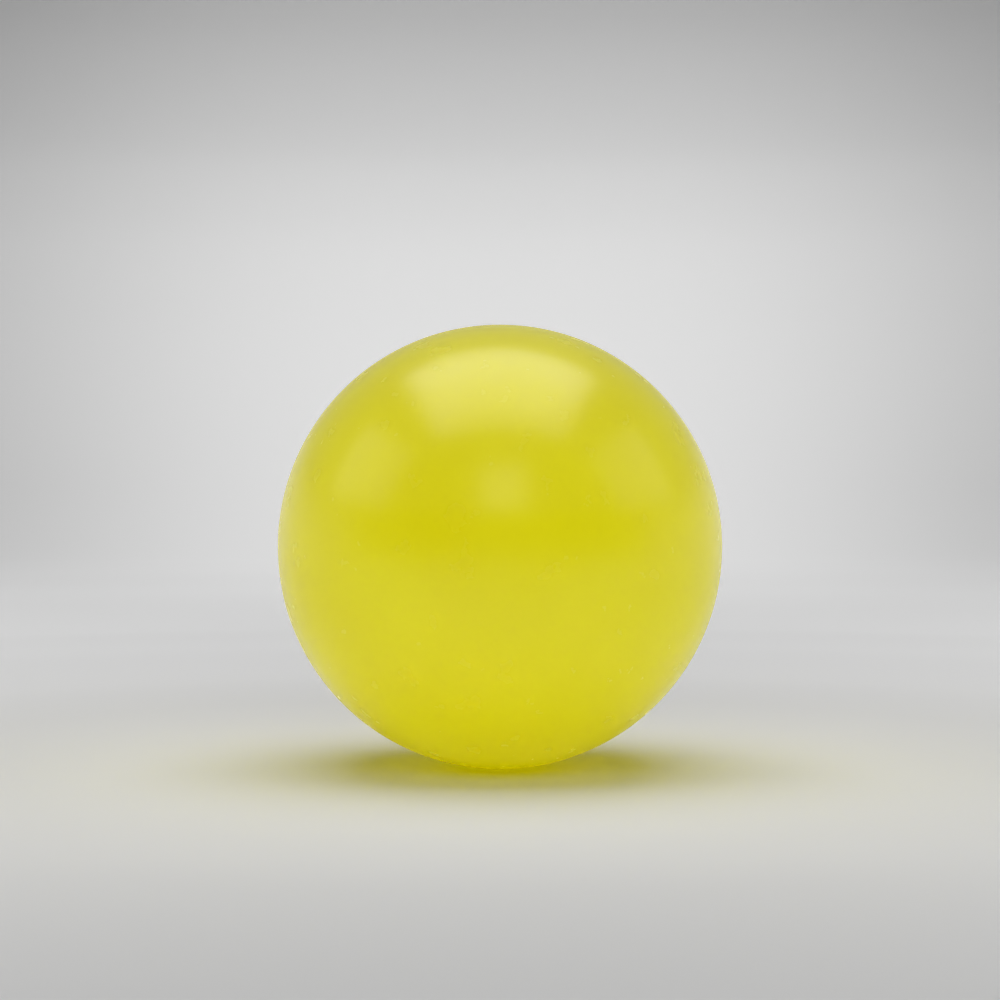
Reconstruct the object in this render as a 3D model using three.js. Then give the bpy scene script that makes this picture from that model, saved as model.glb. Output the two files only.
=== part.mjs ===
// A smooth golf ball in the three-piece build: a solid rubber core, inside a mantle, inside a
// translucent cover. The mantle and the cover are each moulded as two cups that meet at a seam and
// fuse there. The mantle's seam stands at right angles to the cover's, so that no plane runs through
// both. Nothing turns or slides: the whole ball moves as one body.
// Millimetres, +Z up. The origin is the ball's centre, and the cover's seam lies in the plane Z = 0.
import * as THREE from "three";

// Driving dimensions.
const BALL_DIAMETER = 42.67; // 1.680 in, the least diameter that the Rules of Golf allow
const COVER_THICKNESS = 1.27; // 0.050 in
const MANTLE_THICKNESS = 1.27; // 0.050 in
const BOND_LINE = 0.1; // radial room between one layer and the next, filled by the bond

// Facets around each layer. A whole number of facets fits a quarter turn, so that the cover has
// vertices at its full radius on all three axes.
const COVER_FACETS = 60;
const INNER_FACETS = 48;

// What follows from the driving dimensions.
const coverRadius = BALL_DIAMETER / 2;
const mantleRadius = coverRadius - COVER_THICKNESS - BOND_LINE;
const coreRadius = mantleRadius - MANTLE_THICKNESS - BOND_LINE;

// Each layer's material: the cover glossy and tinted, the layers beneath it duller.
const coverPlastic = new THREE.MeshStandardMaterial({
  name: "cover_ionomer",
  color: 0xdad41e,
  roughness: 0.25,
  metalness: 0,
});
const mantlePlastic = new THREE.MeshStandardMaterial({
  name: "mantle_ionomer",
  color: 0xe9e6a0,
  roughness: 0.5,
  metalness: 0,
});
const coreRubber = new THREE.MeshStandardMaterial({
  name: "core_rubber",
  color: 0xd9a441,
  roughness: 0.8,
  metalness: 0,
});

// Points of a quarter circle about the origin, from the pole on the lathe's axis down to the rim.
function quarterCircle(radius, facets) {
  const points = [];
  const steps = facets / 4;
  for (let i = 0; i <= steps; i++) {
    const fromRim = (Math.PI / 2) * (1 - i / steps);
    // The pole is set exactly on the axis, and the rim exactly in the seam's plane.
    const x = i === 0 ? 0 : radius * Math.cos(fromRim);
    const y = i === steps ? 0 : radius * Math.sin(fromRim);
    points.push(new THREE.Vector2(x, y));
  }
  return points;
}

// A hemispherical cup about the Y axis, open at its rim in the plane Y = 0. Its profile goes down
// the inside, across the flat rim and back up the outside.
function cupGeometry(outerRadius, thickness, facets) {
  const inside = quarterCircle(outerRadius - thickness, facets);
  const outside = quarterCircle(outerRadius, facets).reverse();
  return new THREE.LatheGeometry([...inside, ...outside], facets);
}

// The two cups of one layer, each a mesh of its own. Each name goes with the rotation that turns the
// cup's pole from +Y to the side it is named for.
function layerOfTwoCups(geometry, material, placements) {
  const layer = new THREE.Group();
  for (const [name, rotation] of placements) {
    const cup = new THREE.Mesh(geometry, material);
    cup.name = name;
    cup.rotation.set(...rotation);
    layer.add(cup);
  }
  return layer;
}

function cover() {
  const geometry = cupGeometry(coverRadius, COVER_THICKNESS, COVER_FACETS);
  return layerOfTwoCups(geometry, coverPlastic, [
    ["cover_upper", [Math.PI / 2, 0, 0]],
    ["cover_lower", [-Math.PI / 2, 0, 0]],
  ]);
}

function mantle() {
  const geometry = cupGeometry(mantleRadius, MANTLE_THICKNESS, INNER_FACETS);
  return layerOfTwoCups(geometry, mantlePlastic, [
    ["mantle_left", [0, 0, Math.PI / 2]],
    ["mantle_right", [0, 0, -Math.PI / 2]],
  ]);
}

// The core's poles lie on the mantle's axis, so that its facets run parallel to the mantle's.
function core() {
  const geometry = new THREE.SphereGeometry(coreRadius, INNER_FACETS, INNER_FACETS / 2);
  const ball = new THREE.Mesh(geometry, coreRubber);
  ball.name = "core";
  ball.rotation.z = Math.PI / 2;
  return ball;
}

const golfBall = new THREE.Group();
golfBall.add(core(), mantle(), cover());

export default golfBall;
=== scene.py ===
"""The looks of a smooth golf ball: a translucent yellow cover in two cups, over a mantle in two cups,
over a solid rubber core. Metres, +Z up, with the ball's centre at the origin."""

import itertools
import math

import bpy
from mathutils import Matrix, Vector

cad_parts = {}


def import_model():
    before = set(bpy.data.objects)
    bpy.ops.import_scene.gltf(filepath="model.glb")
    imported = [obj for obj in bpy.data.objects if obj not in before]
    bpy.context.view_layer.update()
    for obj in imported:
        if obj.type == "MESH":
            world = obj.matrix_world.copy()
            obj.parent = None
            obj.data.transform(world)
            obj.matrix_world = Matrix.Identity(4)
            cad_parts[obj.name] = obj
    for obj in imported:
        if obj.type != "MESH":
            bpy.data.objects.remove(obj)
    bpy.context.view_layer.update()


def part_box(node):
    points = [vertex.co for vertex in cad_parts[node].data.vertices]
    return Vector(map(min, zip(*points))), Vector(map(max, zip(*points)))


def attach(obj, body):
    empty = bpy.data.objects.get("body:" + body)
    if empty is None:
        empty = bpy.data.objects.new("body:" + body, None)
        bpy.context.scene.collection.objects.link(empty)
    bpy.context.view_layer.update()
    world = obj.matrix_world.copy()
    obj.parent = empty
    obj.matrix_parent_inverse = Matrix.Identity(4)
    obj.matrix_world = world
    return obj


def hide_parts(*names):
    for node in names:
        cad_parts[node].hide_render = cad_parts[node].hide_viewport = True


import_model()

MM = 0.001

# Sizes that the frame gives: each layer's outside. A layer's inside is its neighbour's outside and
# the room for the bond.
BALL_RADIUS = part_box("cover_upper")[1].z
MANTLE_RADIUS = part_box("mantle_right")[1].x
CORE_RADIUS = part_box("core")[1].x
FLOOR_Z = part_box("cover_lower")[0].z
BOND_LINE = 0.1 * MM

# The ball's meshes: cells across a quarter turn, and the gap between a layer's two cups, far too
# small to see.
COVER_CELLS = 64
INNER_CELLS = 48
RIM_GAP = 0.0004 * MM
# Places of the extra rows beside a rim, as shares of the first cell. They carry the buffed land.
RIM_ROWS = (0.0, 0.12, 0.25, 0.5, 0.75)
# Where the two cups of the cover fuse, the seam is buffed down by this much, over this width.
BUFF_DEPTH = 0.001 * MM
BUFF_WIDTH = 0.3 * MM

# The camera: a long lens a little above the ball's middle, tilted up so that the ball sits low.
LENS_MM = 85
CAMERA_DISTANCE = 10.67 * BALL_RADIUS
CAMERA_ELEVATION = math.radians(2.0)
CAMERA_TILT_UP = math.radians(1.126)

# The stage: a round floor that sweeps up into a low wall all the way round.
FLOOR_RADIUS = 0.5
SWEEP_RADIUS = 0.25
SWEEP_STEPS = 24
STAGE_SEGMENTS = 160
# The sweep's paper, and its painted glow, an emission that no lamp gives: by distance from the ball on
# the floor, and by height above the ball on the wall.
PAPER = 0.8
FLOOR_PAINTED_GLOW = (
    (0, 0),
    (0.07, 0),
    (0.1, 0.06),
    (0.15, 0.13),
    (0.2, 0.21),
    (0.3, 0.385),
    (0.4, 0.52),
    (0.5, 0.615),
)
WALL_PAINTED_GLOW = ((0, 0.615), (0.06, 0.61), (0.1, 0.57), (0.134, 0.475), (0.186, 0.33), (0.25, 0.22))
# What share of that is left from the front of the stage to the back, as seen, and as the ball mirrors
# it: painted shade, darker towards the front of the stage.
SEEN_PAINTED_SHADE = (
    (-0.75, 0.62),
    (-0.25, 0.62),
    (-0.15, 0.66),
    (-0.1, 0.75),
    (-0.06, 0.95),
    (-0.03, 1),
    (0.75, 1),
)
MIRRORED = ((-0.75, 0.15), (-0.25, 0.35), (-0.1, 0.75), (-0.05, 1), (0.75, 1))
# Painted pools of light round the wall, in the paper's colour and glow: how many there are, how much
# darker it is halfway between two of them, and the distances from the ball at which they begin to show
# and show in full.
PAINTED_POOLS = 8
POOL_DEPTH = 0.38
POOL_STARTS = 0.2
POOL_FULL = 0.6

# Light: how bright each source is, as radiance. A rectangular lamp's power is pi times its radiance
# and its area.
POWER_PER_RADIANCE = math.pi
# The soft boxes as the ball mirrors them, and as they light the stage.
OVERHEAD_MIRRORED, KEY_ON_STAGE = 2.0, 2.4
OVERHEAD_MIDDLE_MIRRORED = 0.9
LEFT_MIRRORED, RIGHT_MIRRORED, SIDES_ON_STAGE = 1.05, 0.8, 0.6
FRONT_MIRRORED, FRONT_ON_STAGE = 1.3, 1.3
# Their places and sizes. The overhead one's bright middle hangs a little below it.
OVERHEAD_PLACE = Vector((0, 0.012, 0.35))
UNDER_OVERHEAD = Vector((0, 0.012, 0))
OVERHEAD_SIZE = (0.40, 0.38)
MIDDLE_DROP = Vector((0, 0, 0.01))
MIDDLE_SIZE = (0.34, 0.22)
BOX_DISTANCE = 0.4
SIDE_SIZE = (0.27, 0.2)
FRONT_MIRRORED_SIZE = (0.15, 0.15)
FRONT_ON_STAGE_SIZE = (0.3, 0.2)
# Light that comes through the ball: its power in watts, its colour, and its lamp's radius.
THROUGH_THE_BALL = 0.004
THROUGH_COLOUR = (1.0, 0.85, 0.0)
THROUGH_RADIUS = 0.3 * BALL_RADIUS
# The lamps that stand for the glow inside the ball: how bright they are above it, level with it and
# below it, and how much less so to its sides. The floor lights its lower half as well. Then the
# lamps' size and distance.
GLOW_ABOVE, GLOW_LEVEL, GLOW_BELOW = 1.17, 0.79, 0.32
GLOW_LESS_ASIDE = 0.12
GLOW_LAMP_SIZE = 0.3
GLOW_LAMP_DISTANCE = 0.4
# How bright the room is, where the ball mirrors it.
ROOM_IN_FRONT = 0.36
ROOM_BEHIND = 0.4


# ---------------------------------------------------------------- meshes


def full_rows(cells):
    return [2 * i / cells - 1 for i in range(cells + 1)]


def cup_rows(cells):
    """Rows up a cup's side, from its rim to the cube's edge, closer together beside the rim."""
    cell = 2 / cells
    return [cell * share for share in RIM_ROWS] + [cell * i for i in range(1, cells // 2 + 1)]


def side_grid(cells, rows, turns):
    """Directions over an upright side of a cube, after that many quarter turns about Z. The tangent
    evens out the cells. Exact quarter turns make neighbouring sides meet in the same directions."""
    spread = [math.tan(math.pi / 4 * place) for place in full_rows(cells)]
    heights = [math.tan(math.pi / 4 * place) for place in rows]

    def direction(a, b):
        x, y = 1, a
        for _ in range(turns):
            x, y = -y, x
        return Vector((x, y, b)).normalized()

    return [[direction(a, b) for a in spread] for b in heights]


def cap_grid(cells, up):
    """Directions over the cube's top, or its bottom where up is -1."""
    spread = [math.tan(math.pi / 4 * place) for place in full_rows(cells)]
    return [[Vector((a, up * b, up)).normalized() for a in spread] for b in spread]


def skin(grids):
    """Welds grids of directions into one skin: its directions, and its quads as indices of them."""
    directions = []
    index = {}
    quads = []
    for grid in grids:
        numbers = []
        for row in grid:
            for direction in row:
                key = tuple(round(x, 7) for x in direction)
                if key not in index:
                    index[key] = len(directions)
                    directions.append(direction)
                numbers.append(index[key])
        width = len(grid[0])
        for start in range(0, width * (len(grid) - 1), width):
            for i in range(start, start + width - 1):
                quads.append([numbers[k] for k in (i, i + 1, i + 1 + width, i + width)])
    return directions, quads


def piece(name, points, faces, material, slot, *nodes):
    """A smooth-shaded mesh that stands for CAD nodes and rides on the ball's one body."""
    mesh = bpy.data.meshes.new(name)
    mesh.from_pydata(points, [], faces)
    mesh.validate()
    mesh.shade_smooth()
    mesh.materials.append(material)
    made = bpy.data.objects.new(name, mesh)
    bpy.context.scene.collection.objects.link(made)
    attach(made, "root")
    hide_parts(*nodes)
    return made


def cup(name, node, cells, outside, inside, pole, material, slot, dip=0.0):
    """One cup of a layer: outer skin, inner skin and the flat rim between, with its pole at pole."""
    grids = [side_grid(cells, cup_rows(cells), turns) for turns in range(4)] + [cap_grid(cells, 1)]
    directions, quads = skin(grids)
    stand = pole.to_track_quat("Z", "Y").to_matrix()

    def place(direction, radius):
        point = direction * radius
        return stand @ Vector((point.x, point.y, max(point.z, RIM_GAP / 2)))

    def outer_radius(direction):
        return outside - dip * math.exp(-((direction.z * outside / BUFF_WIDTH) ** 2))

    count = len(directions)
    points = [place(d, outer_radius(d)) for d in directions] + [place(d, inside) for d in directions]
    faces = quads + [[count + i for i in reversed(quad)] for quad in quads]
    rim = [i for i, d in enumerate(directions) if abs(d.z) < 1e-9]
    rim.sort(key=lambda i: math.atan2(directions[i].y, directions[i].x))
    for near, far in zip(rim, rim[1:] + rim[:1]):
        faces.append([far, near, count + near, count + far])
    made = piece(name, points, faces, material, slot, node)
    # The rim meets the skins at a sharp corner.
    for edge in made.data.edges:
        if all(abs((stand.transposed() @ made.data.vertices[v].co).z) < RIM_GAP for v in edge.vertices):
            edge.use_edge_sharp = True
    return made


def solid_ball(name, node, cells, radius, material, slot):
    grids = [side_grid(cells, full_rows(cells), turns) for turns in range(4)]
    directions, quads = skin(grids + [cap_grid(cells, 1), cap_grid(cells, -1)])
    return piece(name, [d * radius for d in directions], quads, material, slot, node)


# ---------------------------------------------------------------- materials


def add(tree, kind, inputs=None, **settings):
    """A new node, with its settings, and each input either linked to a socket or set to a value."""
    node = tree.nodes.new(kind)
    for name, value in settings.items():
        setattr(node, name, value)
    for name, value in (inputs or {}).items():
        if isinstance(value, bpy.types.NodeSocket):
            tree.links.new(value, node.inputs[name])
        else:
            node.inputs[name].default_value = value
    return node


def new_material(name):
    """An empty node material, its output, and a socket that gives the place on the ball in mm."""
    material = bpy.data.materials.new(name)
    material.use_nodes = True
    tree = material.node_tree
    tree.nodes.clear()
    output = add(tree, "ShaderNodeOutputMaterial")
    place = add(tree, "ShaderNodeTexCoord").outputs["Object"]
    in_mm = add(tree, "ShaderNodeVectorMath", {0: place, "Scale": 1 / MM}, operation="SCALE")
    return material, tree, output, in_mm.outputs[0]


def noise(tree, place, size_mm, detail=2.0):
    """Soft noise from about 0.3 to 0.7, with patches about size_mm across."""
    inputs = {"Vector": place, "Scale": 1 / size_mm, "Detail": detail}
    return add(tree, "ShaderNodeTexNoise", inputs).outputs["Fac"]


def between(tree, value, low, high, to_low, to_high):
    """value moved from the range low..high to to_low..to_high, and held inside it."""
    inputs = {"Value": value, "From Min": low, "From Max": high, "To Min": to_low, "To Max": to_high}
    return add(tree, "ShaderNodeMapRange", inputs).outputs["Result"]


def mix_colour(tree, factor, first, second):
    node = add(tree, "ShaderNodeMix", {0: factor, 6: first, 7: second}, data_type="RGBA")
    return node.outputs[2]


def times(tree, first, second):
    return add(tree, "ShaderNodeMath", {0: first, 1: second}, operation="MULTIPLY").outputs[0]


def cover_material():
    """Glossy tinted ionomer: pigment clouds too soft to see singly, orange peel and light rubbing."""
    material, tree, output, place = new_material("cover_ionomer")
    clouds = between(tree, noise(tree, place, 9, 3), 0.35, 0.65, 0, 1)
    colour = mix_colour(tree, clouds, (0.700, 0.635, 0.0005, 1), (0.720, 0.660, 0.001, 1))
    rubbing = noise(tree, place, 2.5, 4)
    roughness = between(tree, rubbing, 0.3, 0.7, 0.23, 0.28)
    peel = noise(tree, place, 0.9, 1)
    relief = add(tree, "ShaderNodeBump", {"Height": peel, "Distance": 0.0005 * MM, "Strength": 1})
    shader = add(
        tree,
        "ShaderNodeBsdfPrincipled",
        {
            "Base Color": colour,
            "Roughness": roughness,
            "IOR": 1.5,
            "Normal": relief.outputs[0],
        },
    )
    tree.links.new(shader.outputs[0], output.inputs[0])
    return material


def mantle_material():
    """Satin unpigmented ionomer, a little cloudy where the melt flowed."""
    material, tree, output, place = new_material("mantle_ionomer")
    flow = between(tree, noise(tree, place, 6, 4), 0.35, 0.65, 0, 1)
    colour = mix_colour(tree, flow, (0.78, 0.75, 0.31, 1), (0.84, 0.82, 0.39, 1))
    roughness = between(tree, noise(tree, place, 1.5, 3), 0.3, 0.7, 0.42, 0.58)
    grain = noise(tree, place, 0.3, 3)
    relief = add(tree, "ShaderNodeBump", {"Height": grain, "Distance": 0.004 * MM, "Strength": 1})
    shader = add(
        tree,
        "ShaderNodeBsdfPrincipled",
        {"Base Color": colour, "Roughness": roughness, "Normal": relief.outputs[0]},
    )
    tree.links.new(shader.outputs[0], output.inputs[0])
    return material


def core_material():
    """Matte ground rubber, speckled by its filler."""
    material, tree, output, place = new_material("core_rubber")
    filler = between(tree, noise(tree, place, 0.5, 4), 0.4, 0.7, 0, 1)
    colour = mix_colour(tree, filler, (0.70, 0.38, 0.05, 1), (0.60, 0.30, 0.04, 1))
    grinding = noise(tree, place, 0.2, 4)
    roughness = between(tree, grinding, 0.3, 0.7, 0.72, 0.88)
    relief = add(tree, "ShaderNodeBump", {"Height": grinding, "Distance": 0.01 * MM, "Strength": 1})
    shader = add(
        tree,
        "ShaderNodeBsdfPrincipled",
        {"Base Color": colour, "Roughness": roughness, "Normal": relief.outputs[0]},
    )
    tree.links.new(shader.outputs[0], output.inputs[0])
    return material


# ---------------------------------------------------------------- the ball


def build_cover():
    material = cover_material()
    inside = MANTLE_RADIUS + BOND_LINE
    for side, pole in (("upper", Vector((0, 0, 1))), ("lower", Vector((0, 0, -1)))):
        args = (COVER_CELLS, BALL_RADIUS, inside, pole, material, "cover_ionomer", BUFF_DEPTH)
        yield cup(f"fine_cover_{side}", f"cover_{side}", *args)


def build_mantle():
    material = mantle_material()
    inside = CORE_RADIUS + BOND_LINE
    for side, pole in (("left", Vector((-1, 0, 0))), ("right", Vector((1, 0, 0)))):
        args = (INNER_CELLS, MANTLE_RADIUS, inside, pole, material, "mantle_ionomer")
        yield cup(f"fine_mantle_{side}", f"mantle_{side}", *args)


ball = [*build_cover(), *build_mantle()]
ball.append(solid_ball("fine_core", "core", INNER_CELLS, CORE_RADIUS, core_material(), "core_rubber"))


# ---------------------------------------------------------------- stage


def grade(tree, amount, grades):
    """A number that follows a list of (amount, number), smoothly."""
    first, last = grades[0][0], grades[-1][0]
    ramp = add(tree, "ShaderNodeValToRGB", {0: between(tree, amount, first, last, 0, 1)})
    ramp.color_ramp.interpolation = "CARDINAL"
    while len(ramp.color_ramp.elements) < len(grades):
        ramp.color_ramp.elements.new(0.5)
    for stop, (position, number) in zip(ramp.color_ramp.elements, grades):
        stop.position = (position - first) / (last - first)
        stop.color = (number, number, number, 1)
    return add(tree, "ShaderNodeSeparateColor", {0: ramp.outputs["Color"]}).outputs[0]


def pools(tree, x, y, distance):
    """Share of the paper's colour and glow that is left between the painted pools of light: painted
    shade between them. There are none near the ball.
    """
    turn = add(tree, "ShaderNodeMath", {0: x, 1: y}, operation="ARCTAN2").outputs[0]
    wave = add(tree, "ShaderNodeMath", {0: times(tree, turn, PAINTED_POOLS)}, operation="COSINE").outputs[0]
    away = add(tree, "ShaderNodeMath", {0: between(tree, wave, 1, -1, 0, 1), 1: 1.5}, operation="POWER")
    depth = between(tree, distance, POOL_STARTS, POOL_FULL, 0, POOL_DEPTH)
    lost = times(tree, away.outputs[0], depth)
    return add(tree, "ShaderNodeMath", {0: 1.0, 1: lost}, operation="SUBTRACT").outputs[0]


def sweep_paper(name, painted_glow_grades, by_height):
    """Matt paper with a painted glow, an emission that no lamp gives, which goes by height on the wall
    and by distance from the ball on the floor. Its colour and glow also carry painted shade towards the
    front of the stage and painted pools of light round the wall."""
    material = bpy.data.materials.new(name)
    material.use_nodes = True
    tree = material.node_tree
    place = add(tree, "ShaderNodeTexCoord").outputs["Object"]
    x, y, z = add(tree, "ShaderNodeSeparateXYZ", {0: place}).outputs
    distance = add(tree, "ShaderNodeVectorMath", {0: place}, operation="LENGTH").outputs["Value"]
    # Painted shade towards the front of the stage, times the painted pools of light round the wall.
    seen = times(tree, grade(tree, y, SEEN_PAINTED_SHADE), pools(tree, x, y, distance))
    is_mirrored = add(tree, "ShaderNodeLightPath").outputs["Is Glossy Ray"]
    # Where the ball mirrors the paper, it gets its own painted shade, darker towards the front.
    share = add(tree, "ShaderNodeMix", {0: is_mirrored, 2: seen, 3: grade(tree, y, MIRRORED)}).outputs[0]
    # Painted glow: an emission on the paper that no lamp gives.
    glow = grade(tree, z if by_height else distance, painted_glow_grades)
    shader = tree.nodes["Principled BSDF"]
    tree.links.new(times(tree, share, PAPER), shader.inputs["Base Color"])
    shader.inputs["Emission Color"].default_value = (1, 1, 1, 1)
    tree.links.new(times(tree, share, glow), shader.inputs["Emission Strength"])
    shader.inputs["Roughness"].default_value = 1
    shader.inputs["Specular IOR Level"].default_value = 0
    return material


def turned(name, profile, material):
    """A stage surface turned about Z from (distance, height) pairs, each height above the floor."""
    points = []
    for out, height in profile:
        for j in range(STAGE_SEGMENTS):
            turn = 2 * math.pi * j / STAGE_SEGMENTS
            points.append((out * math.cos(turn), out * math.sin(turn), FLOOR_Z + height))
    faces = []
    for near in range(0, len(points) - STAGE_SEGMENTS, STAGE_SEGMENTS):
        for j in range(STAGE_SEGMENTS):
            k = (j + 1) % STAGE_SEGMENTS
            far = near + STAGE_SEGMENTS
            faces.append((near + j, far + j, far + k, near + k))
    mesh = bpy.data.meshes.new(name)
    mesh.from_pydata(points, [], faces)
    mesh.shade_smooth()
    mesh.materials.append(material)
    made = bpy.data.objects.new(name, mesh)
    bpy.context.scene.collection.objects.link(made)
    return made


def build_stage():
    """The floor, and the wall that it sweeps up into. The wall only shows, and lights nothing."""
    paper = sweep_paper("floor_paper", FLOOR_PAINTED_GLOW, by_height=False)
    floor = turned("floor", [(0.0005, 0), (0.1, 0), (FLOOR_RADIUS, 0)], paper)
    profile = []
    for i in range(SWEEP_STEPS + 1):
        angle = math.pi / 2 * i / SWEEP_STEPS
        out = FLOOR_RADIUS + SWEEP_RADIUS * math.sin(angle)
        profile.append((out, SWEEP_RADIUS * (1 - math.cos(angle))))
    wall = turned("wall", profile, sweep_paper("wall_paper", WALL_PAINTED_GLOW, by_height=True))
    wall.visible_diffuse = False
    return [floor, wall]


def group(name, objects):
    made = bpy.data.collections.new(name)
    for each in objects:
        made.objects.link(each)
    return made


def softbox(name, centre, width, height, radiance, aim=None, lights=None, blocked_by=None):
    """A flat rectangular lamp that faces aim, or else the ball. The camera doesn't see it. Without
    lights, a group of what it lights, it shows only as a reflection and lights nothing."""
    data = bpy.data.lights.new(name, "AREA")
    data.shape = "RECTANGLE"
    data.size, data.size_y = width, height
    data.energy = POWER_PER_RADIANCE * radiance * width * height
    made = bpy.data.objects.new(name, data)
    bpy.context.scene.collection.objects.link(made)
    made.location = centre
    made.rotation_mode = "QUATERNION"
    made.rotation_quaternion = ((aim or Vector()) - centre).to_track_quat("-Z", "Y")
    made.visible_camera = False
    if lights is None:
        made.visible_diffuse = False
    else:
        made.visible_glossy = False
        made.light_linking.receiver_collection = lights
        made.light_linking.blocker_collection = blocked_by
    return made


def around(azimuth, elevation, distance):
    """A point at that azimuth, 0 in front and 90 to the right, and elevation, in degrees."""
    a, e = math.radians(azimuth), math.radians(elevation)
    flat = distance * math.cos(e)
    return Vector((flat * math.sin(a), -flat * math.cos(a), distance * math.sin(e)))


def glow_from(direction):
    """How bright the glow is from that side."""
    level = GLOW_LEVEL - GLOW_LESS_ASIDE * direction.x**2
    pole = GLOW_ABOVE if direction.z > 0 else GLOW_BELOW
    return level + (pole - level) * abs(direction.z)


def mirrored_lamps():
    """What the ball mirrors."""
    left, right = around(-81, 31, BOX_DISTANCE), around(82, 30, BOX_DISTANCE)
    front = around(2, 31.5, BOX_DISTANCE)
    overhead_args = (OVERHEAD_PLACE, *OVERHEAD_SIZE, OVERHEAD_MIRRORED)
    softbox("overhead_reflection", *overhead_args, aim=UNDER_OVERHEAD)
    middle_args = (OVERHEAD_PLACE - MIDDLE_DROP, *MIDDLE_SIZE, OVERHEAD_MIDDLE_MIRRORED)
    softbox("overhead_middle_reflection", *middle_args, aim=UNDER_OVERHEAD)
    softbox("left_reflection", left, *SIDE_SIZE, LEFT_MIRRORED)
    softbox("right_reflection", right, *SIDE_SIZE, RIGHT_MIRRORED)
    softbox("front_reflection", front, *FRONT_MIRRORED_SIZE, FRONT_MIRRORED)


def stage_lamps(on_stage, on_ball):
    """What lights the stage. The ball throws its shadow."""
    left, right = around(-81, 31, BOX_DISTANCE), around(82, 30, BOX_DISTANCE)
    front = around(2, 33.5, BOX_DISTANCE)
    shared = {"lights": on_stage, "blocked_by": on_ball}
    key_args = (OVERHEAD_PLACE, *OVERHEAD_SIZE, KEY_ON_STAGE)
    softbox("key_on_stage", *key_args, aim=UNDER_OVERHEAD, **shared)
    softbox("left_on_stage", left, *SIDE_SIZE, SIDES_ON_STAGE, **shared)
    softbox("right_on_stage", right, *SIDE_SIZE, SIDES_ON_STAGE, **shared)
    softbox("front_on_stage", front, *FRONT_ON_STAGE_SIZE, FRONT_ON_STAGE, **shared)


def lamp_through_the_ball(on_stage):
    """Light that the translucent ball passes on to the paper under it."""
    data = bpy.data.lights.new("through_the_ball", "POINT")
    data.energy = THROUGH_THE_BALL
    data.color = THROUGH_COLOUR
    data.shadow_soft_size = THROUGH_RADIUS
    made = bpy.data.objects.new("through_the_ball", data)
    made.location = (0, 0, BALL_RADIUS)
    bpy.context.scene.collection.objects.link(made)
    made.visible_camera = False
    made.visible_glossy = False
    made.light_linking.receiver_collection = on_stage
    made.light_linking.blocker_collection = on_stage


def glow_lamps(on_ball):
    """What lights the ball. A translucent ball carries light round inside itself until it is about as
    bright below as above. Lamps all round it stand for that, in every direction whose parts are -1,
    0 or 1. They light the ball alone, and the floor doesn't block those below it."""
    directions = [Vector(d).normalized() for d in itertools.product((-1, 0, 1), repeat=3) if any(d)]
    covers = GLOW_LAMP_SIZE**2 / GLOW_LAMP_DISTANCE**2
    share = 4 * math.pi / len(directions) / covers
    for number, direction in enumerate(directions):
        place = direction * GLOW_LAMP_DISTANCE
        size = (GLOW_LAMP_SIZE, GLOW_LAMP_SIZE)
        radiance = glow_from(direction) * share
        lamp = softbox(f"glow_{number}", place, *size, radiance, lights=on_ball, blocked_by=on_ball)
        # With it, a lamp that the gloss isn't meant to show would still show there a little.
        lamp.data.cycles.use_multiple_importance_sampling = False


def light_the_stage(ball, stage):
    on_ball, on_stage = group("on_ball", ball), group("on_stage", stage)
    mirrored_lamps()
    stage_lamps(on_stage, on_ball)
    lamp_through_the_ball(on_stage)
    glow_lamps(on_ball)


def world():
    """A dim room, darkest in front of the ball. It shows only where the ball mirrors it."""
    made = bpy.data.worlds.new("studio")
    bpy.context.scene.world = made
    made.use_nodes = True
    made.cycles.sampling_method = "NONE"
    tree = made.node_tree
    mirrored = add(tree, "ShaderNodeLightPath").outputs["Is Glossy Ray"]
    direction = add(tree, "ShaderNodeTexCoord").outputs["Generated"]
    behind = add(tree, "ShaderNodeSeparateXYZ", {0: direction}).outputs["Y"]
    room = between(tree, behind, -0.9, 0.9, ROOM_IN_FRONT, ROOM_BEHIND)
    inputs = {0: mirrored, 1: room}
    strength = add(tree, "ShaderNodeMath", inputs, operation="MULTIPLY").outputs[0]
    background = tree.nodes["Background"]
    background.inputs["Color"].default_value = (1, 1, 1, 1)
    tree.links.new(strength, background.inputs["Strength"])


def camera():
    data = bpy.data.cameras.new("camera")
    data.lens = LENS_MM
    data.clip_start = 0.01
    data.clip_end = 4
    made = bpy.data.objects.new("camera", data)
    bpy.context.scene.collection.objects.link(made)
    made.location = around(0, math.degrees(CAMERA_ELEVATION), CAMERA_DISTANCE)
    made.rotation_euler = (math.pi / 2 - CAMERA_ELEVATION + CAMERA_TILT_UP, 0, 0)
    bpy.context.scene.camera = made


light_the_stage(ball, build_stage())
world()
camera()
bpy.context.scene.view_settings.view_transform = "Standard"
